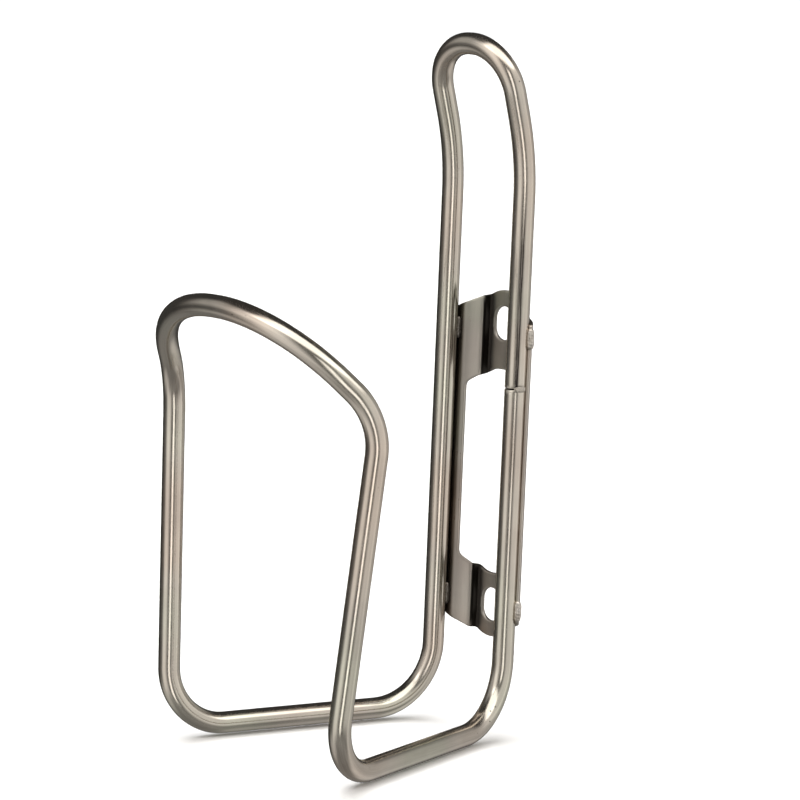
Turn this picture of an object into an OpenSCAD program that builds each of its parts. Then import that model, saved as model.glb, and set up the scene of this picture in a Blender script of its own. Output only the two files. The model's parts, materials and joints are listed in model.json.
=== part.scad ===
// Water bottle cage bent from one round stainless tube, with a stamped mounting plate welded
// behind its two rear uprights.
// Origin: middle of the two-slot bolt pattern, on the plate's rear face. +Z runs up the bottle,
// +Y points back to the bicycle's frame tube, -Y to the front hoop.

/* [Tube] */
// Outside diameter of the tube
tube_od = 4.8; // [4.4:0.1:5]
// Wall thickness of the tube
tube_wall = 0.5; // [0.4:0.05:0.8]
// Distance between the centrelines of the two rear uprights
rear_spacing = 22.5; // [22:0.1:23.5]
// Width of the open gap where the two ends of the tube meet
joint_gap = 0.3; // [0.2:0.05:0.5]
// Height of that butt joint, on the right-hand rear upright
joint_z = 19.2; // [12:0.1:24]

/* [Bottle] */
// Diameter of the bottle that the rear uprights and the hoop touch
bottle_d = 73.6; // [72.6:0.2:74.6]
// Height of the base rails' centreline
rail_z = -56.3; // [-62:0.1:-52]
// Height where the top loop starts to lean forward
kink_z = 70; // [66:0.5:76]
// Length of the leaning top loop, from the kink to its top
loop_len = 25; // [22:0.5:32]
// Forward lean of the top loop, in degrees
loop_lean = 17; // [8:1:24]

/* [Front] */
// Half the distance between the feet of the front uprights
foot_half = 27; // [24:0.5:29]
// How far the feet stand in front of the rear uprights
foot_reach = 64; // [60:0.5:68]
// Half the distance between the tops of the front uprights
shoulder_half = 33.2; // [32:0.2:35]
// How far those tops stand in front of the rear uprights
shoulder_reach = 60; // [58:0.5:62]
// Height of the tops of the front uprights
shoulder_z = 19.7; // [14:0.1:26]
// Half the width of the hoop's front
hoop_half = 19.2; // [16:0.2:20]
// Upward tilt of the hoop, in degrees
hoop_tilt = 50; // [40:1:55]

/* [Bends] */
// Bend radius where the top loop leans
kink_r = 58; // [20:1:70]
// Bend radius from the rear uprights to the base rails
heel_r = 14.5; // [10:0.5:18]
// Bend radius from the base rails to the front uprights
foot_r = 13; // [9:0.5:18]
// Bend radius from the front uprights to the hoop
shoulder_r = 15.6; // [9:0.2:17]

/* [Mounting plate] */
// Spacing of the two mounting slots
bolt_spacing = 64; // [64:64]
// Width of each slot
slot_w = 5.6; // [5.3:0.1:6]
// Length of each slot, end to end
slot_len = 7.6; // [7:0.1:9]
// Thickness of the plate
plate_t = 0.8; // [0.6:0.1:1]
// Distance from the plate's rear face to the centreline of the rear uprights
stand_off = 7.5; // [6.5:0.1:8.5]
// Radius of the rounded lobe round each slot
lobe_r = 7.4; // [6.5:0.1:8]
// How far each side strip curls round its upright, in degrees
cradle_wrap = 68; // [50:1:75]
// Half the width of the window between the side strips
window_half = 7.7; // [7:0.1:8.2]
// Top edge of the window
window_top = 21.6; // [20:0.1:23]
// Bottom edge of the window
window_bottom = -24.8; // [-26:0.1:-23]
// Half the width of the flat channel that the slots are cut in
channel_half = 4.2; // [4:0.1:4.6]
// Depth of the fold beside the channel
fold_depth = 1.9; // [1.4:0.1:2.4]

/* [Welds] */
// Length of each weld bead between the plate and the tube
weld_len = 5; // [4:0.5:7]
// Radius of the beads on the inner side of each upright
weld_r = 0.7; // [0.5:0.05:0.9]
// Radius of the larger beads on the outer side
outer_weld_r = 0.9; // [0.7:0.05:1]

/* [Hidden] */

tube_r = tube_od / 2;
bore_r = tube_r - tube_wall;
upright_x = rear_spacing / 2;
upright_y = -stand_off;

// The bottle's axis, and the distance from it to the centreline of a tube that touches the bottle
wrap_r = bottle_d / 2 + tube_r;
bottle_y = upright_y - sqrt(wrap_r * wrap_r - upright_x * upright_x);
hoop_y = bottle_y - wrap_r;
shoulder_y = upright_y - shoulder_reach;
hoop_z = shoulder_z + (shoulder_y - hoop_y) * tan(hoop_tilt);

// Corners of the bent tube on the right-hand side, from the top loop round to the hoop
loop_corner = [upright_x, upright_y - loop_len * sin(loop_lean), kink_z + loop_len * cos(loop_lean)];
kink = [upright_x, upright_y, kink_z];
heel = [upright_x, upright_y, rail_z];
foot = [foot_half, upright_y - foot_reach, rail_z];
shoulder = [shoulder_half, shoulder_y, shoulder_z];
hoop_corner = [hoop_half, hoop_y, hoop_z];

function unit(v) = v / norm(v);
function turn_angle(a, b, c) = acos(unit(b - a) * unit(c - b));

// The loop and the hoop each cross the middle with a short straight, so their radii follow from width
middle_run = 1;
hoop_turn = turn_angle([-hoop_half, hoop_y, hoop_z], hoop_corner, shoulder);
loop_r = upright_x - middle_run / 2;
hoop_r = (hoop_half - middle_run / 2) / tan(hoop_turn / 2);
right_side = [loop_corner, kink, heel, foot, shoulder, hoop_corner];
right_radii = [loop_r, kink_r, heel_r, foot_r, shoulder_r, hoop_r];
last = len(right_side) - 1;

function mirrored(p) = [-p[0], p[1], p[2]];
corners = concat(right_side, [for (i = [last:-1:0]) mirrored(right_side[i])]);
radii = concat(right_radii, [for (i = [last:-1:0]) right_radii[i]]);
corner_count = len(corners);

// Each bend is thinner than the runs by this much, and each run laps this far into its bends, so
// that no two surfaces are tangent where they join
bend_inset = 0.01;
lap = 0.05;

function corner(i) = corners[(i + corner_count) % corner_count];
function radius(i) = radii[(i + corner_count) % corner_count];
function bend_angle(i) = turn_angle(corner(i - 1), corner(i), corner(i + 1));
function bend_setback(i) = radius(i) * tan(bend_angle(i) / 2);

// A frame whose axes are x, y and z, placed at p
module place(x, y, z, p) {
    multmatrix([
        [x[0], y[0], z[0], p[0]],
        [x[1], y[1], z[1], p[1]],
        [x[2], y[2], z[2], p[2]],
        [0, 0, 0, 1]
    ]) children();
}

module tube_section(inset) {
    difference() {
        circle(tube_r - inset, $fn = 24);
        circle(bore_r + inset, $fn = 24);
    }
}

// The bend at corner i, swept about its own axis
module tube_bend(i) {
    ahead = unit(corner(i) - corner(i - 1));
    leaving = unit(corner(i + 1) - corner(i));
    axis = unit(cross(ahead, leaving));
    inward = cross(axis, ahead);
    centre = corner(i) - ahead * bend_setback(i) + inward * radius(i);
    place(-inward, ahead, axis, centre)
        rotate_extrude(angle = bend_angle(i), $fn = 72)
            translate([radius(i), 0]) tube_section(bend_inset);
}

// The straight run from the bend at corner i to the next bend, lapping a little into both
module tube_run(i) {
    along = corner(i + 1) - corner(i);
    ahead = unit(along);
    run = norm(along) - bend_setback(i) - bend_setback(i + 1) + 2 * lap;
    side = unit(cross(ahead, [ahead[1], ahead[2], ahead[0]]));
    place(side, cross(ahead, side), ahead, corner(i) + ahead * (bend_setback(i) - lap))
        linear_extrude(run) tube_section(0);
}

module cage_tube() {
    color([0.74, 0.71, 0.66])
        difference() {
            union() {
                for (i = [0:corner_count - 1]) {
                    tube_bend(i);
                    tube_run(i);
                }
            }
            translate([upright_x, upright_y, joint_z - joint_gap / 2])
                cylinder(h = joint_gap, r = tube_od, $fn = 48);
        }
}

// Weld that closes the outer part of the butt joint and stands a little proud of the tube
bead_width = 1.2;
bead_proud = 0.15;
bead_sweep = 190;
bead_start = -52;
bead_cap_r = (bead_width * bead_width / 4 + bead_proud * bead_proud) / (2 * bead_proud);

module bead_profile() {
    translate([bore_r, -joint_gap / 2]) square([tube_wall, joint_gap]);
    intersection() {
        translate([tube_r + bead_proud - bead_cap_r, 0]) circle(bead_cap_r, $fn = 96);
        translate([tube_r, -bead_width]) square([bead_width, 2 * bead_width]);
    }
}

module joint_weld() {
    color([0.82, 0.8, 0.76])
        translate([upright_x, upright_y, joint_z])
            rotate([0, 0, bead_start])
                rotate_extrude(angle = bead_sweep, $fn = 96) bead_profile();
}

// Front face of the plate's cross-section, from the middle out to its right-hand edge, which curls
// round the upright with a little room all the way
channel_y = -plate_t;
fold_run = 0.3;
wing_end = 8.6;
cradle_gap = 0.03;
cradle_r = tube_r + cradle_gap;
strip_y = upright_y + cradle_r;
cradle_run = cradle_r * tan(cradle_wrap / 2);
cradle_corner = [upright_x + cradle_run, strip_y];
edge_run = cradle_run + cradle_gap;
front_right = [
    [channel_half, channel_y],
    [channel_half + fold_run, channel_y - fold_depth],
    [wing_end, strip_y],
    cradle_corner,
    cradle_corner + edge_run * [cos(cradle_wrap), -sin(cradle_wrap)]
];
fold_radii = [0.5, 0.9, 3, cradle_r, 0];
back_radii = [0.5, 0.9, 3, cradle_r + plate_t, 0];

// Corner p[i] of an outline turned into an arc of radius r, in equal steps
arc_steps = 6;
function side_of(a, b, c) = sign((b[0] - a[0]) * (c[1] - b[1]) - (b[1] - a[1]) * (c[0] - b[0]));
function turned(v, angle) = [
    v[0] * cos(angle) - v[1] * sin(angle),
    v[0] * sin(angle) + v[1] * cos(angle)
];
function arc_points(a, b, c, r) =
    let (
        way = side_of(a, b, c),
        bend = turn_angle(a, b, c),
        ahead = unit(b - a),
        start = b - ahead * r * tan(bend / 2),
        middle = start + turned(ahead, 90 * way) * r
    )
    [for (k = [0:arc_steps]) middle + turned(start - middle, way * bend * k / arc_steps)];
function rounded(points, radii) =
    let (n = len(points))
    [for (i = [0:n - 1]) each radii[i] > 0
        ? arc_points(points[(i + n - 1) % n], points[i], points[(i + 1) % n], radii[i])
        : [points[i]]];
function flip_x(points) = [for (i = [len(points) - 1:-1:0]) [-points[i][0], points[i][1]]];
function flip(list) = [for (i = [len(list) - 1:-1:0]) list[i]];

// The line through b and its neighbours moved sideways by t, which keeps the sheet's thickness
function moved(a, b, c, t) =
    let (
        n1 = turned(unit(b - a), 90),
        n2 = turned(unit(c - b), 90),
        middle = unit(n1 + n2)
    )
    b + middle * t / (middle * n1);

front_line = concat(flip_x(front_right), front_right);
front_bends = concat(flip(fold_radii), fold_radii);
back_bends = concat(flip(back_radii), back_radii);
line_end = len(front_line) - 1;
function front_before(i) = i > 0 ? front_line[i - 1] : 2 * front_line[0] - front_line[1];
function front_after(i) =
    i < line_end ? front_line[i + 1] : 2 * front_line[line_end] - front_line[line_end - 1];
back_line = [for (i = [0:line_end]) moved(front_before(i), front_line[i], front_after(i), plate_t)];

module plate_profile() {
    polygon(rounded(concat(front_line, flip(back_line)), concat(front_bends, flip(back_bends))));
}

// Outline of the plate seen from the front, before the window and slots are cut
edge_slope = 26;
lobe_top = bolt_spacing / 2 + lobe_r;
lobe_side = lobe_r * tan(edge_slope / 2);
function edge_z(x) = lobe_top - (x - lobe_side) * tan(edge_slope);
side_x = upright_x + cradle_r + plate_t;
outline_right = [
    [lobe_side, lobe_top],
    [side_x, edge_z(side_x)],
    [side_x, -edge_z(side_x)],
    [lobe_side, -lobe_top]
];
outline_radii = [lobe_r, 2.4, 2.4, lobe_r];

window_crown_x = 2.5;
window_slope = 3.5;
window_right = [
    [window_crown_x, window_top],
    [window_half, window_top - window_slope],
    [window_half, window_bottom + window_slope],
    [window_crown_x, window_bottom]
];
window_radii = [6, 2, 2, 6];

module plate_outline() {
    difference() {
        polygon(rounded(concat(outline_right, flip_x(outline_right)),
                        concat(outline_radii, flip(outline_radii))));
        polygon(rounded(concat(window_right, flip_x(window_right)),
                        concat(window_radii, flip(window_radii))));
    }
}

module slot_cut() {
    straight = slot_len - slot_w;
    rotate([90, 0, 0])
        linear_extrude(2 * stand_off, center = true) {
            square([slot_w, straight], center = true);
            for (end = [-1, 1])
                translate([0, end * straight / 2]) circle(slot_w / 2, $fn = 48);
        }
}

module mounting_plate() {
    color([0.6, 0.57, 0.52])
        difference() {
            intersection() {
                linear_extrude(3 * lobe_top, center = true) plate_profile();
                rotate([90, 0, 0])
                    linear_extrude(4 * stand_off, center = true) plate_outline();
            }
            for (end = [-1, 1])
                translate([0, 0, end * bolt_spacing / 2]) slot_cut();
        }
}

// A weld joins one corner of the plate to the tube: a bead on the upright's inner side, and a larger
// one on its outer side, against the edge of the cradle
bead_x = 1.65;
outer_bead_turn = 28;
outer_bead_out = 0.45;
weld_upper_z = 30.3;
weld_lower_z = -30.6;

module inner_bead() {
    translate([-bead_x, tube_r - weld_r * 0.55, 0]) cylinder(h = weld_len, r = weld_r, $fn = 64);
}

module outer_bead() {
    rotate([0, 0, outer_bead_turn])
        translate([tube_r + outer_bead_out, 0, 0])
            cylinder(h = weld_len, r = outer_weld_r, $fn = 64);
}

module plate_weld(z) {
    color([0.8, 0.77, 0.72])
        translate([0, 0, z - weld_len / 2])
            difference() {
                translate([upright_x, upright_y, 0]) {
                    inner_bead();
                    outer_bead();
                }
                translate([upright_x, upright_y, -1])
                    cylinder(h = weld_len + 2, r = tube_r, $fn = 96);
                translate([0, 0, -1]) linear_extrude(weld_len + 2) plate_profile();
            }
}

module plate_weld_upper_right() { plate_weld(weld_upper_z); }
module plate_weld_lower_right() { plate_weld(weld_lower_z); }
module plate_weld_upper_left() { mirror([1, 0, 0]) plate_weld(weld_upper_z); }
module plate_weld_lower_left() { mirror([1, 0, 0]) plate_weld(weld_lower_z); }

cage_tube();
joint_weld();
mounting_plate();
plate_weld_upper_left();
plate_weld_upper_right();
plate_weld_lower_left();
plate_weld_lower_right();
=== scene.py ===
"""Looks and studio for a stainless steel water bottle cage.

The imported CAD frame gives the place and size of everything. This script swaps its plain solids for
a finely bent hollow tube, a smooth pressed plate and rippled weld beads, and gives each its metal.
"""

import json
import math

import bpy
import numpy as np
from mathutils import Matrix, Vector, noise


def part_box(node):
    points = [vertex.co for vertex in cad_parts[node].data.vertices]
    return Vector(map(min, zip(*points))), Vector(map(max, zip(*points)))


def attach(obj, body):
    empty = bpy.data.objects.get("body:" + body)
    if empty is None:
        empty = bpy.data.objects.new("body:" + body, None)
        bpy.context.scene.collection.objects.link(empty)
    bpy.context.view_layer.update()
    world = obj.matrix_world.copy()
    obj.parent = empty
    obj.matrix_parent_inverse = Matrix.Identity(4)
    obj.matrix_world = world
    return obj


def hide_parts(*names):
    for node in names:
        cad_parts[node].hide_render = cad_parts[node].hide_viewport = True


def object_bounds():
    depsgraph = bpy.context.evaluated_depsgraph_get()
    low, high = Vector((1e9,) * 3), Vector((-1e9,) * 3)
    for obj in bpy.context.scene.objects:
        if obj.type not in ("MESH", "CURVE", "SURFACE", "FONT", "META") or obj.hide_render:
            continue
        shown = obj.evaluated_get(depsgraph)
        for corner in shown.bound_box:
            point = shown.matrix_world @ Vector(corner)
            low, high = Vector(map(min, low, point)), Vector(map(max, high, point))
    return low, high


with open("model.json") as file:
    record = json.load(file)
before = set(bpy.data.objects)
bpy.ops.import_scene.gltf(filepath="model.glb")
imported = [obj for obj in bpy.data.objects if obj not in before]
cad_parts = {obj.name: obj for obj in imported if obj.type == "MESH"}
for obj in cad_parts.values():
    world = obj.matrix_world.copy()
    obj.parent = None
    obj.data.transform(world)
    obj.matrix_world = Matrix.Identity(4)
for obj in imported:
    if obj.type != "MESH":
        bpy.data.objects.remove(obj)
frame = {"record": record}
cad_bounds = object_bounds()

MM = 0.001

# The bent tube, in millimetres, as in the CAD source
TUBE_R = 2.4
TUBE_WALL = 0.5
JOINT_GAP = 0.3
JOINT_Z = 19.2
KINK_Z = 70.0
LOOP_LENGTH = 25.0
LOOP_LEAN = math.radians(17)
FOOT_HALF = 27.0
FOOT_REACH = 64.0
SHOULDER_HALF = 33.2
SHOULDER_REACH = 60.0
SHOULDER_Z = 19.7
HOOP_HALF = 19.2
HOOP_TILT = math.radians(50)
MIDDLE_RUN = 1.0
UPRIGHT_X = 11.25
KINK_R = 58.0
HEEL_R = 14.5
FOOT_R = 13.0
SHOULDER_R = 15.6

# The mounting plate, in millimetres
PLATE_T = 0.8
BOLTS = frame["record"]["mounts"][0]["dims"]
BOLT_SPACING = BOLTS["spacing_y_mm"]
SLOT_W = 2 * BOLTS["hole_r_mm"]
SLOT_LENGTH = BOLTS["slot_length_mm"]
LOBE_R = 7.4
CRADLE_WRAP = math.radians(68)
CRADLE_GAP = 0.03
EDGE_SLOPE = math.radians(26)
WINDOW_HALF = 7.7
WINDOW_TOP = 21.6
WINDOW_BOTTOM = -24.8
WINDOW_SLOPE = 3.5
WINDOW_CROWN = 2.5
CHANNEL_HALF = 4.2
FOLD_DEPTH = 1.9
FOLD_RUN = 0.3
WING_END = 8.6
CORNER_R = 2.4
WINDOW_CROWN_R = 6.0
WINDOW_R = 2.0
FOLD_RADII = [0.5, 0.9, 3]

# The weld beads, in millimetres
WELD_R = 0.7
WELD_X = 1.65
OUTER_WELD_R = 0.9
OUTER_WELD_TURN = math.radians(28)
OUTER_WELD_OUT = 0.45
RIPPLE_PITCH = 0.75
JOINT_BEAD_WIDTH = 1.2
JOINT_BEAD_PROUD = 0.15
JOINT_BEAD_START = math.radians(-52)
JOINT_BEAD_SWEEP = math.radians(190)

# The camera: where it stands round the object, and how it is held
AZIMUTH = math.radians(46.84)
ELEVATION = math.radians(8.107)
ROLL = math.radians(2.347)
DISTANCE = 0.6416
LENS = 134.75
SENSOR = 36.0
AIM_RIGHT = 0.0086
AIM_UP = -0.0009


def box_mm(node):
    low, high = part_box(node)
    return low / MM, high / MM


tube_low, tube_high = box_mm("cage_tube")
plate_low, plate_high = box_mm("mounting_plate")
UPRIGHT_Y = tube_high.y - TUBE_R
RAIL_Z = tube_low.z + TUBE_R
HOOP_Y = tube_low.y + TUBE_R


# ---------------------------------------------------------------- meshes


def new_object(name, points, faces, material):
    """A smooth mesh that rides on the part's only body. Points are in millimetres."""
    mesh = bpy.data.meshes.new(name)
    mesh.from_pydata([Vector(p) * MM for p in points], [], faces)
    mesh.validate()
    mesh.polygons.foreach_set("use_smooth", [True] * len(mesh.polygons))
    mesh.materials.append(material)
    made = bpy.data.objects.new(name, mesh)
    bpy.context.scene.collection.objects.link(made)
    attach(made, "root")
    return made


def store(mesh, name, values):
    """Keeps one number or one vector per vertex, for the material to read."""
    values = np.asarray(values, np.float32)
    kind, field = ("FLOAT", "value") if values.ndim == 1 else ("FLOAT_VECTOR", "vector")
    attribute = mesh.attributes.new(name, kind, "POINT")
    attribute.data.foreach_set(field, values.ravel())


def ring_faces(ring_count, ring_size, closed):
    """Quads between neighbouring rings of a sweep, which either closes on itself or has two caps."""
    faces = []
    for i in range(ring_count if closed else ring_count - 1):
        a, b = i * ring_size, (i + 1) % ring_count * ring_size
        for j in range(ring_size):
            k = (j + 1) % ring_size
            faces.append((a + j, a + k, b + k, b + j))
    if not closed:
        last = (ring_count - 1) * ring_size
        faces.append(tuple(reversed(range(ring_size))))
        faces.append(tuple(last + j for j in range(ring_size)))
    return faces


# ---------------------------------------------------------------- the bent tube


def turn_between(a, b, c):
    return (b - a).angle(c - b)


def tube_corners():
    """The corners of the tube with their bend radii, walking down from the joint and round to it."""
    rise = Vector((0, -math.sin(LOOP_LEAN), math.cos(LOOP_LEAN))) * LOOP_LENGTH
    kink = Vector((UPRIGHT_X, UPRIGHT_Y, KINK_Z))
    shoulder = Vector((SHOULDER_HALF, UPRIGHT_Y - SHOULDER_REACH, SHOULDER_Z))
    hoop_z = SHOULDER_Z + (shoulder.y - HOOP_Y) * math.tan(HOOP_TILT)
    hoop = Vector((HOOP_HALF, HOOP_Y, hoop_z))
    hoop_turn = turn_between(Vector((-HOOP_HALF, HOOP_Y, hoop_z)), hoop, shoulder)
    hoop_r = (HOOP_HALF - MIDDLE_RUN / 2) / math.tan(hoop_turn / 2)
    right = [
        (Vector((UPRIGHT_X, UPRIGHT_Y, RAIL_Z)), HEEL_R),
        (Vector((FOOT_HALF, UPRIGHT_Y - FOOT_REACH, RAIL_Z)), FOOT_R),
        (shoulder, SHOULDER_R),
        (hoop, hoop_r),
    ]
    top = [(kink, KINK_R), (kink + rise, UPRIGHT_X - MIDDLE_RUN / 2)]
    left = [(Vector((-p.x, p.y, p.z)), r) for p, r in reversed(right)]
    left_top = [(Vector((-p.x, p.y, p.z)), r) for p, r in top]
    return right + left + left_top + list(reversed(top))


RUN_STEP = 1.2
BEND_STEP = 0.55


def tube_path():
    """Points along the tube's centreline: place, direction, and inward direction times bend share."""
    start = Vector((UPRIGHT_X, UPRIGHT_Y, JOINT_Z - JOINT_GAP / 2))
    end = Vector((UPRIGHT_X, UPRIGHT_Y, JOINT_Z + JOINT_GAP / 2))
    corners = tube_corners()
    places = [start] + [p for p, _ in corners] + [end]
    path = []
    here = start
    for i, (corner, radius) in enumerate(corners, 1):
        ahead = (corner - places[i - 1]).normalized()
        leaving = (places[i + 1] - corner).normalized()
        turn = ahead.angle(leaving)
        axis = ahead.cross(leaving).normalized()
        inward = axis.cross(ahead)
        setback = radius * math.tan(turn / 2)
        bend_start = corner - ahead * setback
        path += run_points(here, bend_start, ahead)
        centre = bend_start + inward * radius
        steps = max(6, round(radius * turn / BEND_STEP))
        for k in range(steps):
            spin = Matrix.Rotation(turn * k / steps, 3, axis)
            ease = math.sin(math.pi * k / steps) ** 0.5
            path.append((centre - spin @ inward * radius, spin @ ahead, spin @ inward * ease))
        here = corner + leaving * setback
    path += run_points(here, end, Vector((0, 0, -1)))
    path.append((end, Vector((0, 0, -1)), Vector()))
    return path


def run_points(a, b, ahead):
    steps = max(1, round((b - a).length / RUN_STEP))
    return [(a.lerp(b, k / steps), ahead, Vector()) for k in range(steps)]


RING_SIZE = 48
END_BEVEL = 0.08
FLATTENING = 0.035
BULGE = 0.012
WAVE_LENGTH = 9.0
WAVE_DEPTH = 0.012
BEND_WAVE_DEPTH = 0.022


def carried_frames(path):
    """A side direction at each point, carried along the path without twisting."""
    side = Vector((0, -1, 0))
    sides = []
    for _, ahead, _ in path:
        side = (side - ahead * side.dot(ahead)).normalized()
        sides.append(side.copy())
    return sides


def tube_ring(point, ahead, side, inward, radius, wavy):
    """One ring of the tube: flattened a little inside a bend, and never quite true."""
    up = ahead.cross(side)
    share = inward.length
    ring = []
    for j in range(RING_SIZE):
        angle = 2 * math.pi * j / RING_SIZE
        out = side * math.cos(angle) + up * math.sin(angle)
        depth = WAVE_DEPTH + (BEND_WAVE_DEPTH - WAVE_DEPTH) * share
        wave = depth * noise.noise((point + out * TUBE_R) / WAVE_LENGTH) if wavy else 0
        towards = out.dot(inward)
        squeeze = 1 - FLATTENING * min(0, towards) ** 2
        ring.append(point + out * (radius * squeeze + BULGE * share * (1 - towards**2) + wave))
    return ring


# The tube's own lengthwise seam, which shows on the upright that has the joint
SEAM_TURN = math.radians(49)
SEAM_ABOVE = (50.0, 66.0)
SEAM_BELOW = (-8.0, -44.0)
SEAM_BELOW_STRENGTH = 0.4


def seam_at(point, out):
    """The distance round the tube from its seam, and how strongly the seam shows there."""
    if (point.xy - Vector((UPRIGHT_X, UPRIGHT_Y))).length > 0.5:
        return (9, 0, 0)
    towards = Vector((math.sin(SEAM_TURN), -math.cos(SEAM_TURN), 0))
    offset = math.atan2(towards.cross(out).z, towards.dot(out)) * TUBE_R
    start, end = SEAM_ABOVE if point.z > JOINT_Z else SEAM_BELOW
    fade = min(1.0, max(0.0, (point.z - end) / (start - end)))
    return (offset, fade * (1 if point.z > JOINT_Z else SEAM_BELOW_STRENGTH), 0)


def build_tube(material):
    path = tube_path()
    sides = carried_frames(path)
    bore = TUBE_R - TUBE_WALL
    rings, grain, bends, seams = [], [], [], []

    def add(index, radius, wavy, slip=0.0):
        point, ahead, inward = path[index]
        rings.append(tube_ring(point + ahead * slip, ahead, sides[index], inward, radius, wavy))
        distance = travelled[index]
        for j in range(RING_SIZE):
            angle = 2 * math.pi * j / RING_SIZE
            grain.append((distance, TUBE_R * math.cos(angle), TUBE_R * math.sin(angle)))
            bends.append(inward.length)
            out = sides[index] * math.cos(angle) + ahead.cross(sides[index]) * math.sin(angle)
            seams.append(seam_at(point, out))

    steps = [(b[0] - a[0]).length for a, b in zip(path, path[1:])]
    travelled = np.concatenate([[0], np.cumsum(steps)])
    end = len(path) - 1
    add(0, TUBE_R - END_BEVEL, False)
    add(0, TUBE_R, True, END_BEVEL)
    for i in range(1, end):
        add(i, TUBE_R, True)
    add(end, TUBE_R, True, -END_BEVEL)
    add(end, TUBE_R - END_BEVEL, False)
    add(end, bore, False)
    for i in range(end - 3, 2, -4):
        add(i, bore, False)
    add(0, bore, False)
    points = [p for ring in rings for p in ring]
    faces = [tuple(reversed(f)) for f in ring_faces(len(rings), RING_SIZE, True)]
    tube = new_object("bent_tube", points, faces, material)
    store(tube.data, "grain", grain)
    store(tube.data, "bend", bends)
    store(tube.data, "seam", seams)
    store(tube.data, "heat", heat_at(points))
    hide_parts("cage_tube")
    return tube


# ---------------------------------------------------------------- heat from the welds

JOINT_POINT = Vector((UPRIGHT_X, UPRIGHT_Y, JOINT_Z))
WELD_BOXES = {level: box_mm(f"plate_weld_{level}_right") for level in ("upper", "lower")}
WELD_Z = {level: (low.z + high.z) / 2 for level, (low, high) in WELD_BOXES.items()}
WELD_LENGTH = WELD_BOXES["upper"][1].z - WELD_BOXES["upper"][0].z
HEAT_REACH = 6.5
HEAT_STRENGTH = 0.7
JOINT_HEAT_REACH = 5.0
JOINT_HEAT_STRENGTH = 0.4


def heat_at(points):
    """How strongly the nearest weld has tinted the steel at each point, from 0 to 1."""
    points = np.asarray(points, float)
    from_joint = np.linalg.norm(points - np.array(JOINT_POINT), axis=1) - TUBE_R
    heat = JOINT_HEAT_STRENGTH * (1 - from_joint / JOINT_HEAT_REACH)
    for side in (-1, 1):
        for z in WELD_Z.values():
            away = points - np.array((side * UPRIGHT_X, UPRIGHT_Y + TUBE_R, z))
            away[:, 2] = np.maximum(0, np.abs(away[:, 2]) - WELD_LENGTH / 2)
            heat = np.maximum(heat, HEAT_STRENGTH - np.linalg.norm(away, axis=1) / HEAT_REACH)
    return np.maximum(heat, 0)


# ---------------------------------------------------------------- the pressed plate

ARC_STEPS = 10
GRID = 0.4
EDGE_BEVEL = 0.09
SETTLE_ROUNDS = 8
# How far the painted shade spreads from the channel walls, and how dark it is painted in the corners
# beside the uprights
PAINTED_SHADE_REACH = 1.3
PAINTED_SHADE_FLAT = 0.4
PAINTED_SHADE_EDGE = 0.25
CORNER_PAINTED_SHADE = 0.75
CORNER_PAINTED_SHADE_START = 6.0
CORNER_PAINTED_SHADE_RUN = 3.2


def rounded(points, radii):
    """A closed or open outline whose corners are turned into arcs. A radius of 0 keeps a corner."""
    out = []
    count = len(points)
    for i, (corner, radius) in enumerate(zip(points, radii)):
        corner = Vector(corner)
        before, after = Vector(points[i - 1]), Vector(points[(i + 1) % count])
        if radius == 0:
            out.append(corner)
            continue
        ahead, leaving = (corner - before).normalized(), (after - corner).normalized()
        turn = ahead.angle_signed(leaving)
        start = corner - ahead * radius * math.tan(abs(turn) / 2)
        inward = Vector((ahead.y, -ahead.x)) * math.copysign(radius, turn)
        for k in range(ARC_STEPS + 1):
            spin = Matrix.Rotation(-turn * k / ARC_STEPS, 2)
            out.append(start + inward - spin @ inward)
    return out


def mirrored(points, radii):
    """The right half of an outline, joined to its mirror image on the left."""
    return points + [(-x, z) for x, z in reversed(points)], radii + radii[::-1]


def plate_outline():
    top = BOLT_SPACING / 2 + LOBE_R
    lobe_side = LOBE_R * math.tan(EDGE_SLOPE / 2)

    def edge_z(x):
        return top - (x - lobe_side) * math.tan(EDGE_SLOPE)

    side_x = UPRIGHT_X + TUBE_R + CRADLE_GAP + PLATE_T
    right = [(lobe_side, top), (side_x, edge_z(side_x)), (side_x, -edge_z(side_x)), (lobe_side, -top)]
    return rounded(*mirrored(right, [LOBE_R, CORNER_R, CORNER_R, LOBE_R]))


def window_outline():
    right = [
        (WINDOW_CROWN, WINDOW_TOP),
        (WINDOW_HALF, WINDOW_TOP - WINDOW_SLOPE),
        (WINDOW_HALF, WINDOW_BOTTOM + WINDOW_SLOPE),
        (WINDOW_CROWN, WINDOW_BOTTOM),
    ]
    return rounded(*mirrored(right, [WINDOW_CROWN_R, WINDOW_R, WINDOW_R, WINDOW_CROWN_R]))


def slot_outline(z):
    w, h = SLOT_W / 2, SLOT_LENGTH / 2
    corners = [(-w, z - h), (w, z - h), (w, z + h), (-w, z + h)]
    return rounded(corners, [w * 0.999] * 4)


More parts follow.
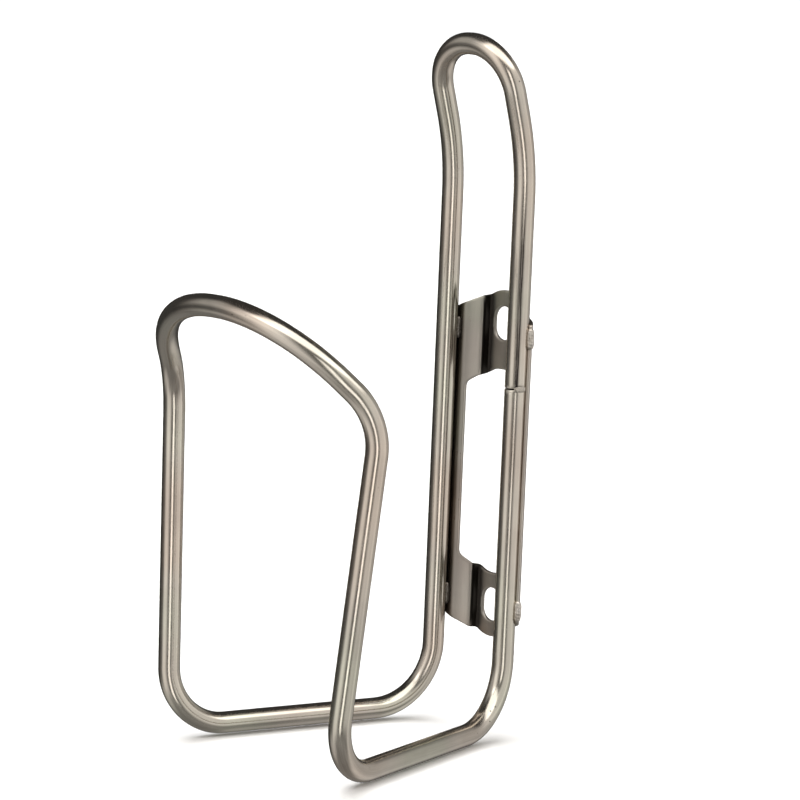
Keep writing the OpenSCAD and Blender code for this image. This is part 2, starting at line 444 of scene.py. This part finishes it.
class Profile:
    """The plate's folded cross-section, from one edge to the other, measured along the sheet."""

    def __init__(self):
        cradle_r = TUBE_R + CRADLE_GAP
        run = cradle_r * math.tan(CRADLE_WRAP / 2)
        strip_y = UPRIGHT_Y + cradle_r
        corner_x = UPRIGHT_X + run
        run += CRADLE_GAP
        half = [
            (CHANNEL_HALF, -PLATE_T),
            (CHANNEL_HALF + FOLD_RUN, -PLATE_T - FOLD_DEPTH),
            (WING_END, strip_y),
            (corner_x, strip_y),
            (corner_x + run * math.cos(CRADLE_WRAP), strip_y - run * math.sin(CRADLE_WRAP)),
        ]
        folds = FOLD_RADII + [cradle_r, 0]
        front = rounded([(-x, y) for x, y in reversed(half)] + half, folds[::-1] + folds)
        self.front = dense(np.array([tuple(p) for p in front]), 0.1)
        step = np.gradient(self.front, axis=0)
        step /= np.linalg.norm(step, axis=1)[:, None]
        self.normal = np.stack([step[:, 1], -step[:, 0]], 1)  # points forward, to -Y
        self.middle = self.front - self.normal * PLATE_T / 2
        lengths = np.linalg.norm(np.diff(self.middle, axis=0), axis=1)
        self.u = np.concatenate([[0], np.cumsum(lengths)])
        self.u -= self.u[-1] / 2

    def u_of(self, x):
        return np.interp(x, self.middle[:, 0], self.u)

    def place(self, u, z, height):
        """The points at u along the sheet, z up it, and height in front of its middle surface."""
        spots = np.stack([np.interp(u, self.u, self.middle[:, k]) for k in (0, 1)], 1)
        normals = np.stack([np.interp(u, self.u, self.normal[:, k]) for k in (0, 1)], 1)
        spots = spots + normals * np.reshape(height, (-1, 1))
        return np.stack([spots[:, 0], spots[:, 1], z], 1)


def dense(points, step):
    """The same open line with a point at least every step."""
    out = [points[0]]
    for a, b in zip(points, points[1:]):
        count = max(1, math.ceil(np.linalg.norm(b - a) / step))
        out += [a + (b - a) * k / count for k in range(1, count + 1)]
    return np.array(out)


class Outline:
    """A closed outline on the unfolded sheet, with the distance from it, negative inside."""

    def __init__(self, points, profile):
        closed = np.array([tuple(p) for p in points] + [tuple(points[0])])
        line = dense(closed, 0.5)
        line[:, 0] = profile.u_of(line[:, 0])
        kept = np.linalg.norm(np.diff(line, axis=0), axis=1) > 1e-6
        self.a, self.b = line[:-1][kept], line[1:][kept]

    def probe(self, p):
        """The distance at each point and the direction in which it grows."""
        parts = [self.probe_few(q) for q in np.array_split(p, len(p) // 2000 + 1)]
        return [np.concatenate(x) for x in zip(*parts)]

    def probe_few(self, p):
        along = self.b - self.a
        away = p[:, None] - self.a
        t = np.clip((away * along).sum(-1) / (along**2).sum(-1), 0, 1)
        offset = away - t[..., None] * along
        nearest = (offset**2).sum(-1).argmin(1)
        offset = offset[np.arange(len(p)), nearest]
        distance = np.linalg.norm(offset, axis=1)
        level = p[:, 1, None]
        crosses = (self.a[:, 1] > level) != (self.b[:, 1] > level)
        with np.errstate(divide="ignore", invalid="ignore"):
            meets = self.a[:, 0] + away[..., 1] / along[:, 1] * along[:, 0]
        inside = (crosses & (p[:, 0, None] < meets)).sum(1) % 2 == 1
        sign = np.where(inside, -1.0, 1.0)
        return distance * sign, offset * (sign / np.maximum(distance, 1e-9))[:, None]


def probe_sheet(outlines, p):
    """Distance outside the sheet, past its outer edge or into an opening, and the way it grows."""
    distance, way = outlines[0].probe(p)
    for opening in outlines[1:]:
        d, w = opening.probe(p)
        closer = -d > distance
        distance = np.where(closer, -d, distance)
        way = np.where(closer[:, None], -w, way)
    return distance, way


def sheet_cells(outlines, half_u, half_z):
    """A grid of square cells that fills the sheet, with its border moved onto the sheet's edge."""
    us = np.linspace(-half_u, half_u, 2 * round(half_u / GRID) + 1)
    zs = np.linspace(-half_z, half_z, 2 * round(half_z / GRID) + 1)
    p = np.stack(np.meshgrid(us, zs, indexing="ij"), -1).reshape(-1, 2)
    rows = len(zs)
    corner = np.arange(len(p)).reshape(len(us), rows)
    cells = np.stack([corner[:-1, :-1], corner[1:, :-1], corner[1:, 1:], corner[:-1, 1:]], -1)
    cells = cells.reshape(-1, 4)
    cells = cells[probe_sheet(outlines, p[cells].mean(1))[0] < -0.45 * GRID]
    used, cells = np.unique(cells, return_inverse=True)
    return p[used], cells.reshape(-1, 4)


def border_edges(cells):
    """Edges that belong to one cell only, in that cell's direction."""
    edges = {(int(c[k]), int(c[(k + 1) % 4])) for c in cells for k in range(4)}
    return [(a, b) for a, b in edges if (b, a) not in edges]


def settle(p, cells, border, outlines):
    """Moves border points onto the sheet's edge and evens out the points near them."""
    neighbours = [set() for _ in p]
    for c in cells:
        for k in range(4):
            neighbours[c[k]].update((c[k - 1], c[(k + 1) % 4]))
    on_border = sorted({a for e in border for a in e})
    beside = {a: [] for a in on_border}
    for a, b in border:
        beside[a].append(b)
        beside[b].append(a)
    near = set(on_border)
    for _ in range(3):
        near |= {n for a in near for n in neighbours[a]}
    inner = sorted(near - set(on_border))
    for _ in range(SETTLE_ROUNDS):
        even = np.array([np.mean([p[n] for n in beside[a]], 0) for a in on_border])
        q = 0.5 * p[on_border] + 0.5 * even
        distance, way = probe_sheet(outlines, q)
        p[on_border] = q - (distance + EDGE_BEVEL)[:, None] * way
        p[inner] = [np.mean([p[n] for n in neighbours[a]], 0) for a in inner]
    return np.array(on_border)


def painted_shade_at(points):
    """Painted shade on the channel's walls and in the corners beside the tube, from 0 to 1."""
    into_floor = CHANNEL_HALF - np.abs(points[:, 0])
    on_floor = np.exp(-np.maximum(into_floor - PAINTED_SHADE_FLAT, 0) / PAINTED_SHADE_REACH)
    beyond = np.clip((-into_floor - PAINTED_SHADE_FLAT) / PAINTED_SHADE_EDGE, 0, 1)
    along_wing = np.clip((np.abs(points[:, 0]) - CORNER_PAINTED_SHADE_START) / CORNER_PAINTED_SHADE_RUN, 0, 1)
    in_corner = CORNER_PAINTED_SHADE * along_wing**1.5
    return np.where(into_floor > 0, on_floor, np.maximum(1 - beyond, in_corner))


def build_plate(material):
    profile = Profile()
    shapes = [plate_outline(), window_outline()]
    shapes += [slot_outline(side * BOLT_SPACING / 2) for side in (-1, 1)]
    outlines = [Outline(s, profile) for s in shapes]
    p, cells = sheet_cells(outlines, profile.u[-1] + GRID, plate_high.z + GRID)
    border = border_edges(cells)
    rim = settle(p, cells, border, outlines)
    half, edge = PLATE_T / 2, PLATE_T / 2 - EDGE_BEVEL
    side = p[rim] + probe_sheet(outlines, p[rim])[1] * EDGE_BEVEL
    layers = [
        profile.place(p[:, 0], p[:, 1], half),
        profile.place(p[:, 0], p[:, 1], -half),
        profile.place(side[:, 0], side[:, 1], edge),
        profile.place(side[:, 0], side[:, 1], -edge),
    ]
    points = np.concatenate(layers)
    n, m = len(p), len(rim)
    faces = [tuple(int(v) for v in c) for c in cells]
    faces += [tuple(int(v) + n for v in reversed(c)) for c in cells]
    place = {int(v): i for i, v in enumerate(rim)}
    for a, b in border:
        front = (a, b)
        side_front = (2 * n + place[a], 2 * n + place[b])
        side_back = (side_front[0] + m, side_front[1] + m)
        back = (a + n, b + n)
        for (a0, b0), (a1, b1) in ((front, side_front), (side_front, side_back), (side_back, back)):
            faces.append((b0, a0, a1, b1))
    plate = new_object("pressed_plate", points, faces, material)
    store(plate.data, "grain", points)
    store(plate.data, "bend", np.zeros(len(points)))
    store(plate.data, "heat", heat_at(points))
    # Painted shade on the front face only: near black on the channel walls, darker along the wings towards
    # the uprights
    painted_shade = painted_shade_at(points)
    painted_shade[n : 2 * n] = 0
    painted_shade[np.abs(points[:, 0]) > UPRIGHT_X] = 0
    store(plate.data, "painted_shade", painted_shade)
    even = plate.modifiers.new("even_normals", "WEIGHTED_NORMAL")
    even.weight = 100
    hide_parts("mounting_plate")
    return plate


# ---------------------------------------------------------------- weld beads

BEAD_RING = 20


def ripple(distance, lean):
    """The overlapping crescents that a weld pool leaves, as a height from 0 to 1."""
    phase = (distance / RIPPLE_PITCH + 0.45 * lean) % 1
    return phase * (1 - phase**4) * 1.6


def straight_bead(x, y, z, radius, seed):
    """One bead laid in the corner between the tube and the plate, with rounded ends."""
    rings = []
    steps = 48
    for i in range(steps + 1):
        t = i / steps
        s = (t - 0.5) * WELD_LENGTH
        end = math.sqrt(max(0.02, 1 - abs(2 * t - 1) ** 4))
        wander = 0.06 * noise.noise(Vector((seed, s * 0.7, 0)))
        ring = []
        for j in range(BEAD_RING):
            angle = 2 * math.pi * j / BEAD_RING
            lump = 0.08 * noise.noise(Vector((seed + 9, s, angle)))
            r = radius * end * (0.9 + 0.1 * ripple(s + 50, math.cos(angle)) + lump)
            ring.append((x + wander + r * math.cos(angle), y + r * math.sin(angle), z + s))
        rings.append(ring)
    return rings


def build_plate_weld(side, level, z, material):
    """The two beads at one corner of the plate: one inside the upright, a larger one outside it."""
    reach = TUBE_R + OUTER_WELD_OUT
    beads = [
        (-WELD_X, TUBE_R - 0.55 * WELD_R, WELD_R),
        (reach * math.cos(OUTER_WELD_TURN), reach * math.sin(OUTER_WELD_TURN), OUTER_WELD_R),
    ]
    points, faces, painted_shade = [], [], []
    for x, y, radius in beads:
        at = (side * (UPRIGHT_X + x), UPRIGHT_Y + y, z)
        rings = straight_bead(*at, radius, 10 * side + x + z)
        start = len(points)
        points += [p for ring in rings for p in ring]
        # The bead inside the upright is darkened with painted shade, the one outside is not
        painted_shade += [CORNER_PAINTED_SHADE if x < 0 else 0.0] * (len(points) - start)
        faces += [tuple(start + v for v in f) for f in ring_faces(len(rings), BEAD_RING, False)]
    hand = "right" if side > 0 else "left"
    weld = new_object(f"weld_bead_{level}_{hand}", points, faces, material)
    store(weld.data, "painted_shade", painted_shade)
    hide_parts(f"plate_weld_{level}_{hand}")


def build_joint_weld(material):
    """The bead that closes the outer part of the butt joint."""
    rings = []
    steps = 150
    root = TUBE_R - TUBE_WALL
    for i in range(steps + 1):
        t = i / steps
        angle = JOINT_BEAD_START + JOINT_BEAD_SWEEP * t
        end = math.sqrt(max(0.03, 1 - abs(2 * t - 1) ** 12))
        out = Vector((math.cos(angle), math.sin(angle), 0))
        travelled = TUBE_R * JOINT_BEAD_SWEEP * t
        ring = []
        crown = 14
        for j in range(crown + 1):
            w = 2 * j / crown - 1
            wander = 1 + 0.12 * noise.noise(Vector((travelled * 0.8, w * 0.5, 4)))
            height = math.sqrt(max(0.0, 1 - w * w))
            lift = JOINT_BEAD_PROUD * height * (0.75 + 0.45 * ripple(travelled, w * w))
            half = JOINT_BEAD_WIDTH / 2 * end * wander
            ring.append(JOINT_POINT + out * (TUBE_R - 0.02 + lift * end) + Vector((0, 0, w * half)))
        for w in (1, -1):
            ring.append(JOINT_POINT + out * root + Vector((0, 0, w * JOINT_GAP / 2)))
        rings.append(ring)
    points = [p for ring in rings for p in ring]
    faces = [tuple(reversed(f)) for f in ring_faces(len(rings), len(rings[0]), False)]
    weld = new_object("joint_bead", points, faces, material)
    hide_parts("joint_weld")


# ---------------------------------------------------------------- materials


class Nodes:
    """A few short ways to add nodes to a tree and link them."""

    def __init__(self, tree):
        self.tree = tree

    def add(self, kind, settings=None, **inputs):
        node = self.tree.nodes.new(kind)
        for name, value in (settings or {}).items():
            setattr(node, name, value)
        for name, value in inputs.items():
            self.put(node, name.replace("_", " "), value)
        return node

    def put(self, node, name, value):
        socket = node.inputs[int(name[1:])] if name[0] == "#" else node.inputs[name]
        if isinstance(value, bpy.types.NodeSocket):
            self.tree.links.new(value, socket)
        else:
            socket.default_value = value

    def math(self, operation, a, b=0.0, clamp=False):
        node = self.add("ShaderNodeMath", {"operation": operation, "use_clamp": clamp})
        self.put(node, "#0", a)
        self.put(node, "#1", b)
        return node.outputs[0]

    def mix(self, share, a, b, blend="MIX"):
        node = self.add("ShaderNodeMix", {"data_type": "RGBA", "blend_type": blend})
        self.put(node, "#0", share)
        self.put(node, "#6", a)
        self.put(node, "#7", b)
        return node.outputs[2]

    def attribute(self, name, output="Fac"):
        return self.add("ShaderNodeAttribute", {"attribute_name": name}).outputs[output]

    def scaled(self, vector, scale):
        node = self.add("ShaderNodeVectorMath", {"operation": "MULTIPLY"})
        self.put(node, "#0", vector)
        self.put(node, "#1", scale)
        return node.outputs[0]

    def noise(self, vector, scale, detail=3.0):
        node = self.add("ShaderNodeTexNoise", Vector=vector, Scale=scale, Detail=detail)
        return node.outputs["Fac"]

    def ranged(self, value, low, high, to_low=0.0, to_high=1.0, smooth=False):
        kind = "SMOOTHSTEP" if smooth else "LINEAR"
        node = self.add("ShaderNodeMapRange", {"interpolation_type": kind})
        for i, number in enumerate((value, low, high, to_low, to_high)):
            self.put(node, f"#{i}", number)
        return node.outputs[0]

    def ramp(self, value, stops):
        node = self.add("ShaderNodeValToRGB", Fac=value)
        elements = node.color_ramp.elements
        while len(elements) < len(stops):
            elements.new(0.5)
        for element, (position, colour) in zip(elements, stops):
            element.position = position
            element.color = (*colour, 1)
        return node.outputs["Color"]


def metal(name, colour_a, colour_b, grain_size, rough, streak):
    """Worked stainless steel: drawn streaks, patchy tint, smudges, pits, painted shade in the plate's
    channel and corners, heat colours.
    """
    material = bpy.data.materials.new(name)
    material.use_nodes = True
    n = Nodes(material.node_tree)
    shader = material.node_tree.nodes["Principled BSDF"]
    place = n.add("ShaderNodeTexCoord").outputs["Object"]
    grain = n.scaled(n.attribute("grain", "Vector"), grain_size)
    fine = n.noise(grain, 1.0, 4.0)
    broad = n.noise(n.scaled(n.attribute("grain", "Vector"), [g * 0.22 for g in grain_size]), 1.0, 2.0)
    patches = n.noise(place, 70.0, 3.0)
    smudges = n.noise(place, 320.0, 4.0)
    colour = n.mix(n.ranged(patches, 0.35, 0.65, smooth=True), (*colour_a, 1), (*colour_b, 1))
    tint = n.noise(place, 38.0, 1.0)
    tints = n.ramp(tint, [(0.36, (0.9, 1.0, 0.93)), (0.5, (1, 1, 1)), (0.64, (1.0, 0.9, 0.86))])
    colour = n.mix(0.55, colour, tints, "MULTIPLY")
    streaks = n.ranged(n.math("ADD", fine, broad), 0.7, 1.3, 1 - streak, 1 + streak * 0.4)
    colour = n.mix(1.0, colour, streaks, "MULTIPLY")
    heat = n.attribute("heat")
    edge = n.math("MULTIPLY", heat, n.ranged(patches, 0.3, 0.7, 0.7, 1.2))
    tempered = n.ramp(
        edge,
        [
            (0.0, (1, 1, 1)),
            (0.25, (0.95, 0.84, 0.66)),
            (0.5, (0.78, 0.58, 0.42)),
            (0.72, (0.6, 0.5, 0.5)),
            (0.95, (0.52, 0.55, 0.62)),
        ],
    )
    colour = n.mix(0.85, colour, tempered, "MULTIPLY")
    # Painted shade: near black where the plate's channel walls and wing corners lie in shade
    colour = n.mix(n.math("MULTIPLY", n.attribute("painted_shade"), 0.97), colour, (0.014, 0.012, 0.01, 1))
    seam = seam_mask(n, grain, fine)
    colour = n.mix(seam, colour, (0.02, 0.016, 0.014, 1))
    pits = pit_mask(n, place)
    colour = n.mix(n.math("MULTIPLY", pits, 0.8), colour, (0.03, 0.025, 0.02, 1))
    roughness = n.ranged(smudges, 0.3, 0.75, rough, rough + 0.08)
    roughness = n.math("ADD", roughness, n.ranged(fine, 0.3, 0.7, 0.0, 0.05))
    roughness = n.math("ADD", roughness, n.math("MULTIPLY", heat, 0.12), clamp=True)
    height = n.math("ADD", n.math("MULTIPLY", fine, 0.5), n.math("MULTIPLY", smudges, 0.35))
    height = n.math("SUBTRACT", height, n.math("MULTIPLY", n.math("ADD", pits, seam), 3.0))
    bump = n.add("ShaderNodeBump", Strength=0.35, Distance=0.00001, Height=height)
    shader.inputs["Metallic"].default_value = 1.0
    n.put(shader, "Base Color", colour)
    n.put(shader, "Roughness", roughness)
    n.put(shader, "Normal", bump.outputs["Normal"])
    return material


def seam_mask(n, grain, fine):
    """The tube's seam: a thin dark line that wanders and breaks up along its length."""
    seam = n.add("ShaderNodeSeparateXYZ", Vector=n.attribute("seam", "Vector")).outputs
    wander = n.ranged(fine, 0.3, 0.7, -0.12, 0.12)
    across = n.math("ABSOLUTE", n.math("ADD", seam[0], wander))
    line = n.ranged(across, 0.2, 0.42, 1.0, 0.0, True)
    return n.math("MULTIPLY", line, n.math("MULTIPLY", seam[1], n.ranged(fine, 0.3, 0.6, 0.75, 1.0)))


def pit_mask(n, place):
    """Small dark pits, few and scattered, mostly where the tube was bent."""
    cells = n.add("ShaderNodeTexVoronoi", Vector=place, Scale=900.0)
    dots = n.ranged(cells.outputs["Distance"], 0.1, 0.22, 1.0, 0.0)
    chosen = n.ranged(n.add("ShaderNodeSeparateColor", Color=cells.outputs["Color"]).outputs[0], 0.86, 0.9)
    where = n.ranged(n.noise(place, 90.0, 1.0), 0.56, 0.62)
    bent = n.ranged(n.attribute("bend"), 0.2, 0.8, 0.15, 1.0)
    return n.math("MULTIPLY", n.math("MULTIPLY", dots, chosen), n.math("MULTIPLY", where, bent))


def weld_metal():
    """Remelted steel: rougher, frosted between the ripples."""
    material = bpy.data.materials.new("weld_bead_steel")
    material.use_nodes = True
    n = Nodes(material.node_tree)
    shader = material.node_tree.nodes["Principled BSDF"]
    place = n.add("ShaderNodeTexCoord").outputs["Object"]
    frost = n.noise(place, 2600.0, 4.0)
    blotch = n.noise(place, 500.0, 2.0)
    tones = [(0.32, (0.46, 0.42, 0.37)), (0.5, (0.58, 0.54, 0.49)), (0.7, (0.68, 0.65, 0.61))]
    colour = n.ramp(blotch, tones)
    # Painted shade darkens the beads inside the uprights
    colour = n.mix(n.attribute("painted_shade"), colour, (0.03, 0.026, 0.022, 1))
    bump = n.add("ShaderNodeBump", Strength=0.4, Distance=0.00002, Height=frost)
    shader.inputs["Metallic"].default_value = 1.0
    n.put(shader, "Base Color", colour)
    n.put(shader, "Roughness", n.ranged(frost, 0.3, 0.7, 0.24, 0.42))
    n.put(shader, "Normal", bump.outputs["Normal"])
    return material


# ---------------------------------------------------------------- studio


def camera_axes():
    """The directions towards the camera, to the right of the picture and up it, without its roll."""
    sa, ca, se, ce = math.sin(AZIMUTH), math.cos(AZIMUTH), math.sin(ELEVATION), math.cos(ELEVATION)
    back = Vector((sa * ce, -ca * ce, se))
    right = Vector((ca, sa, 0))
    return back, right, back.cross(right)


def make_camera():
    back, right, up = camera_axes()
    centre = (cad_bounds[0] + cad_bounds[1]) / 2
    aim = centre + right * AIM_RIGHT + up * AIM_UP
    rolled_right = right * math.cos(ROLL) + up * math.sin(ROLL)
    rolled_up = up * math.cos(ROLL) - right * math.sin(ROLL)
    data = bpy.data.cameras.new("camera")
    data.lens, data.sensor_width = LENS, SENSOR
    data.clip_start, data.clip_end = 0.05, 50
    camera = bpy.data.objects.new("camera", data)
    turn = Matrix((rolled_right, rolled_up, back)).transposed()
    camera.matrix_world = Matrix.Translation(aim + back * DISTANCE) @ turn.to_4x4()
    bpy.context.scene.collection.objects.link(camera)
    bpy.context.scene.camera = camera


# Panels of light round the object: azimuth from the camera and elevation of the middle, half
# width, half height and blur, all in degrees, then brightness
PANELS = [
    ("slit", 3, -6, 7, 26, 3, 2.1),
    ("left_box", -50, 8, 23, 42, 15, 0.84),
    ("left_high_box", -78, 26, 38, 22, 12, 0.36),
    ("left_low_box", -88, -42, 30, 16, 10, 0.3),
    ("right_box", 62, 12, 34, 36, 12, 0.74),
    ("right_rear_box", 118, -14, 30, 48, 12, 0.45),
    ("overhead_box", 15, 67, 76, 29, 5, 2.0),
    ("low_glow", 0, -62, 200, 30, 14, 0.2),
    ("room", 0, -5, 110, 50, 14, 0.08),
]
AMBIENT = 0.045
PANEL_COLOUR = (1.0, 0.975, 0.935, 1)


def make_world():
    world = bpy.data.worlds.new("studio")
    world.use_nodes = True
    bpy.context.scene.world = world
    n = Nodes(world.node_tree)
    direction = n.add("ShaderNodeTexCoord").outputs["Generated"]
    back, right, _ = camera_axes()
    level = Vector((back.x, back.y, 0)).normalized()

    def along(axis):
        node = n.add("ShaderNodeVectorMath", {"operation": "DOT_PRODUCT"})
        n.put(node, "#0", direction)
        n.put(node, "#1", axis)
        return node.outputs["Value"]

    azimuth = n.math("DEGREES", n.math("ARCTAN2", along(right), along(level)))
    elevation = n.math("DEGREES", n.math("ARCSINE", along((0, 0, 1))))
    total = AMBIENT
    for _, at, height, half_width, half_height, blur, brightness in PANELS:
        across = n.math("ABSOLUTE", n.math("SUBTRACT", azimuth, at))
        upward = n.math("ABSOLUTE", n.math("SUBTRACT", elevation, height))
        a = n.ranged(across, half_width - blur, half_width + blur, 1.0, 0.0, True)
        b = n.ranged(upward, half_height - blur, half_height + blur, 1.0, 0.0, True)
        panel = n.math("MULTIPLY", n.math("MULTIPLY", a, b), brightness)
        total = n.math("ADD", panel, total)
    background = world.node_tree.nodes["Background"]
    n.put(background, "Strength", total)
    background.inputs["Color"].default_value = PANEL_COLOUR


def stage_material(name, emission=None):
    material = bpy.data.materials.new(name)
    material.use_nodes = True
    shader = material.node_tree.nodes["Principled BSDF"]
    shader.inputs["Base Color"].default_value = (0.9, 0.9, 0.9, 1)
    shader.inputs["Roughness"].default_value = 0.9
    if emission:
        shader.inputs["Base Color"].default_value = (0, 0, 0, 1)
        shader.inputs["Emission Color"].default_value = (1, 1, 1, 1)
        shader.inputs["Emission Strength"].default_value = emission
    return material


# How far the floor lies under the rails, in metres
FLOOR_DROP = 0.0005


def make_stage():
    """A pale floor under the rails and a white backdrop all round, neither mirrored in the steel."""
    floor_z = cad_bounds[0].z - FLOOR_DROP
    bpy.ops.mesh.primitive_plane_add(size=16, location=(0, 0, floor_z))
    floor = bpy.context.object
    floor.name = "floor"
    floor.data.materials.append(stage_material("floor_white"))
    bpy.ops.mesh.primitive_uv_sphere_add(radius=7.5, segments=48, ring_count=24)
    backdrop = bpy.context.object
    backdrop.name = "backdrop"
    backdrop.data.materials.append(stage_material("backdrop_white", 1.05))
    for thing in (floor, backdrop):
        thing.visible_glossy = False
        thing.visible_transmission = False
    backdrop.visible_diffuse = False
    backdrop.visible_shadow = False


def make_key_light():
    """A wide soft lamp overhead for the floor and its shadow. The steel mirrors the panels instead."""
    data = bpy.data.lights.new("overhead", "SUN")
    data.energy = 2.9
    data.angle = math.radians(50)
    lamp = bpy.data.objects.new("overhead", data)
    back, right, _ = camera_axes()
    towards = (Vector((0, 0, 1)) - right * 0.22 - back * 0.3).normalized()
    lamp.rotation_mode = "QUATERNION"
    lamp.rotation_quaternion = towards.to_track_quat("Z", "Y")
    lamp.visible_glossy = False
    bpy.context.scene.collection.objects.link(lamp)


# ---------------------------------------------------------------- build

tube_steel = metal(
    "drawn_tube_steel", (0.66, 0.61, 0.54), (0.59, 0.54, 0.48), (0.1, 4.0, 4.0), 0.15, 0.09
)
plate_steel = metal(
    "rolled_plate_steel", (0.54, 0.5, 0.45), (0.47, 0.43, 0.39), (3.5, 3.5, 0.15), 0.26, 0.07
)
bead_steel = weld_metal()

build_tube(tube_steel)
build_plate(plate_steel)
build_joint_weld(bead_steel)
for level, z in WELD_Z.items():
    for side in (-1, 1):
        build_plate_weld(side, level, z, bead_steel)

make_camera()
make_world()
make_stage()
make_key_light()
bpy.context.scene.view_settings.view_transform = "Standard"
